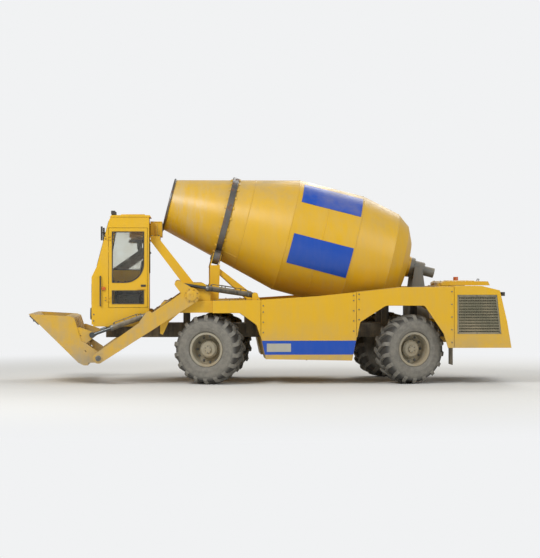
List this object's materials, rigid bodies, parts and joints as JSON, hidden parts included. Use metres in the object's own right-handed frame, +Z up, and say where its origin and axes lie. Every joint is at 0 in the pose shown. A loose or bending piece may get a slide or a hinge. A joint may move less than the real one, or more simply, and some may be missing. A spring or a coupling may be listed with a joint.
{
  "type": "self-loading concrete mixer truck",
  "caption": "Self-loading concrete mixer with front bucket, side cab, forward-discharge drum and steered wheels at both axles.",
  "frame": {"origin": "on the ground under the middle of the whole machine's box", "axes": "+X forwards, +Y to the machine's left, +Z up"},
  "size_m": [7.6105, 2.671, 3.3211],
  "materials": {
    "yellow_paint": "gloss enamel, sun-faded and dusty",
    "rim_paint": "off-white wheel enamel under dust",
    "flap_rubber": "moulded rubber sheet",
    "drum_paint": "enamel with a film of cement dust",
    "black_paint": "satin chassis enamel",
    "grey_paint": "machinery enamel",
    "blue_panel": "smooth enamel panel, bare",
    "worn_steel": "bare steel worn bright where it rolls",
    "rod_chrome": "hard-chromed rod",
    "cast_iron": "rough casting",
    "rubber_tyre": "dusty tread rubber",
    "tinted_glass": "tinted flat safety glass",
    "seat_vinyl": "grained vinyl",
    "black_plastic": "textured moulding",
    "lamp_lens": "clear moulded lens",
    "amber_lens": "amber moulded lens",
    "mirror_black": "moulded shell with a flat mirror"
  },
  "bodies": {
    "root": {"chassis_frame": "black_paint", "front_axle": "cast_iron", "rear_axle": "cast_iron", "front_fenders": "yellow_paint", "side_tanks": "yellow_paint", "rear_fenders": "yellow_paint", "engine_cover": "yellow_paint", "engine_grilles": "black_paint", "engine_block": "grey_paint", "loader_brackets": "yellow_paint", "drum_stand": "yellow_paint", "drum_gearbox": "grey_paint", "hopper_portal": "yellow_paint", "right_platform": "yellow_paint", "cab_shell": "yellow_paint", "cab_glass": "tinted_glass", "seat": "seat_vinyl", "steering_console": "black_plastic", "work_lamps": "black_plastic", "road_lamps": "lamp_lens", "mirrors": "mirror_black", "beacon": "amber_lens", "mud_flaps": "flap_rubber"},
    "drum": {"drum_shell": "drum_paint", "drum_ring": "worn_steel", "drum_panels": "blue_panel"},
    "roller_left": {"roller_left": "worn_steel"},
    "roller_right": {"roller_right": "worn_steel"},
    "knuckle_fl": {"knuckle_fl": "cast_iron"},
    "wheel_fl": {"wheel_fl": "rim_paint", "tyre_fl": "rubber_tyre"},
    "knuckle_fr": {"knuckle_fr": "cast_iron"},
    "wheel_fr": {"wheel_fr": "rim_paint", "tyre_fr": "rubber_tyre"},
    "front_track_rod": {"front_track_rod": "worn_steel"},
    "knuckle_rl": {"knuckle_rl": "cast_iron"},
    "wheel_rl": {"wheel_rl": "rim_paint", "tyre_rl": "rubber_tyre"},
    "knuckle_rr": {"knuckle_rr": "cast_iron"},
    "wheel_rr": {"wheel_rr": "rim_paint", "tyre_rr": "rubber_tyre"},
    "rear_track_rod": {"rear_track_rod": "worn_steel"},
    "arms": {"loader_arms": "yellow_paint"},
    "bucket": {"bucket": "yellow_paint"},
    "lift_barrels": {"lift_barrels": "black_paint"},
    "lift_rods": {"lift_rods": "rod_chrome"},
    "tilt_barrels": {"tilt_barrels": "black_paint"},
    "tilt_rods": {"tilt_rods": "rod_chrome"},
    "cab_door": {"cab_door": "yellow_paint", "door_glass": "tinted_glass"},
    "engine_hood": {"engine_hood": "yellow_paint"},
    "chute_ring": {"chute_ring": "worn_steel"},
    "chute_trough": {"chute_trough": "grey_paint"}
  },
  "joints": [
    {"name": "drum_turn", "type": "hinge", "parent": "root", "child": "drum", "pos_m": [0.682, 0, 2.632], "axis": [-0.9684, 0, -0.2495], "continuous": true},
    {"name": "roller_left_turn", "type": "hinge", "parent": "root", "child": "roller_left", "pos_m": [0.84133, 0.49887, 2.01367], "axis": [-0.9684, 0, -0.2495], "continuous": true},
    {"name": "roller_right_turn", "type": "hinge", "parent": "root", "child": "roller_right", "pos_m": [0.84133, -0.49887, 2.01367], "axis": [-0.9684, 0, -0.2495], "continuous": true},
    {"name": "steer_fl", "type": "hinge", "parent": "root", "child": "knuckle_fl", "pos_m": [0.87, 0.74, 0.55], "axis": [0, 0, 1], "range_deg": [-10, 50]},
    {"name": "wheel_fl_roll", "type": "hinge", "parent": "knuckle_fl", "child": "wheel_fl", "pos_m": [0.95893, 0.98432, 0.55], "axis": [0.342, 0.9397, 0], "continuous": true},
    {"name": "steer_fr", "type": "hinge", "parent": "root", "child": "knuckle_fr", "pos_m": [0.87, -0.74, 0.55], "axis": [0, 0, 1], "range_deg": [-10, 50]},
    {"name": "wheel_fr_roll", "type": "hinge", "parent": "knuckle_fr", "child": "wheel_fr", "pos_m": [0.78107, -0.98432, 0.55], "axis": [0.342, 0.9397, 0], "continuous": true},
    {"name": "front_track_rod_slide", "type": "slide", "parent": "root", "child": "front_track_rod", "axis": [0, 1, 0], "range_m": [-0.211, 0.0426]},
    {"name": "steer_rl", "type": "hinge", "parent": "root", "child": "knuckle_rl", "pos_m": [-2.115, 0.74, 0.55], "axis": [0, 0, 1], "range_deg": [-50, 10]},
    {"name": "wheel_rl_roll", "type": "hinge", "parent": "knuckle_rl", "child": "wheel_rl", "pos_m": [-2.20392, 0.98432, 0.55], "axis": [-0.342, 0.9397, 0], "continuous": true},
    {"name": "steer_rr", "type": "hinge", "parent": "root", "child": "knuckle_rr", "pos_m": [-2.115, -0.74, 0.55], "axis": [0, 0, 1], "range_deg": [-50, 10]},
    {"name": "wheel_rr_roll", "type": "hinge", "parent": "knuckle_rr", "child": "wheel_rr", "pos_m": [-2.02608, -0.98432, 0.55], "axis": [-0.342, 0.9397, 0], "continuous": true},
    {"name": "rear_track_rod_slide", "type": "slide", "parent": "root", "child": "rear_track_rod", "axis": [0, 1, 0], "range_m": [-0.0426, 0.211]},
    {"name": "arm_lift", "type": "hinge", "parent": "root", "child": "arms", "pos_m": [1.25, 0, 1.4], "axis": [0, -1, 0], "range_deg": [-4, 80]},
    {"name": "bucket_tilt", "type": "hinge", "parent": "arms", "child": "bucket", "pos_m": [2.71, 0, 0.42], "axis": [0, -1, 0], "range_deg": [-42, 5]},
    {"name": "lift_barrel_turn", "type": "hinge", "parent": "root", "child": "lift_barrels", "pos_m": [0.25, 0, 1.4], "axis": [0, -1, 0], "range_deg": [-0.55, 7.22]},
    {"name": "lift_rod_slide", "type": "slide", "parent": "lift_barrels", "child": "lift_rods", "axis": [0.9887, 0, 0.1502], "range_m": [-0.3385, 0.01883]},
    {"name": "tilt_barrel_turn", "type": "hinge", "parent": "arms", "child": "tilt_barrels", "pos_m": [1.92, 0, 1.1], "axis": [0, -1, 0], "range_deg": [-3.87, 0.64]},
    {"name": "tilt_rod_slide", "type": "slide", "parent": "tilt_barrels", "child": "tilt_rods", "axis": [0.941, 0, -0.3383], "range_m": [-0.03282, 0.26091]},
    {"name": "door_swing", "type": "hinge", "parent": "root", "child": "cab_door", "pos_m": [2.568, 0.984, 1.33], "axis": [0, 0, -1], "range_deg": [0, 80]},
    {"name": "hood_lift", "type": "hinge", "parent": "root", "child": "engine_hood", "pos_m": [-2.771, 0, 1.572], "axis": [0, 1, 0], "range_deg": [0, 55]},
    {"name": "chute_swing", "type": "hinge", "parent": "root", "child": "chute_ring", "pos_m": [2.095, -0.34, 2.245], "axis": [0, 0, -1], "range_deg": [0, 80]},
    {"name": "chute_tilt", "type": "hinge", "parent": "chute_ring", "child": "chute_trough", "pos_m": [2.095, -0.34, 2.17], "axis": [0, -1, 0], "range_deg": [-15, 35]}
  ],
  "couplings": [
    {"joint": "steer_fr", "follows": "steer_fl", "ratio": 1},
    {"joint": "front_track_rod_slide", "follows": "steer_fl", "m_per_rad": -0.24122},
    {"joint": "steer_rr", "follows": "steer_rl", "ratio": 1},
    {"joint": "rear_track_rod_slide", "follows": "steer_rl", "m_per_rad": -0.24122},
    {"joint": "lift_barrel_turn", "follows": "arm_lift", "ratio": 0.087708},
    {"joint": "lift_rod_slide", "follows": "arm_lift", "m_per_rad": -0.241},
    {"joint": "tilt_barrel_turn", "follows": "bucket_tilt", "ratio": 0.087445},
    {"joint": "tilt_rod_slide", "follows": "bucket_tilt", "m_per_rad": -0.3532}
  ]
}
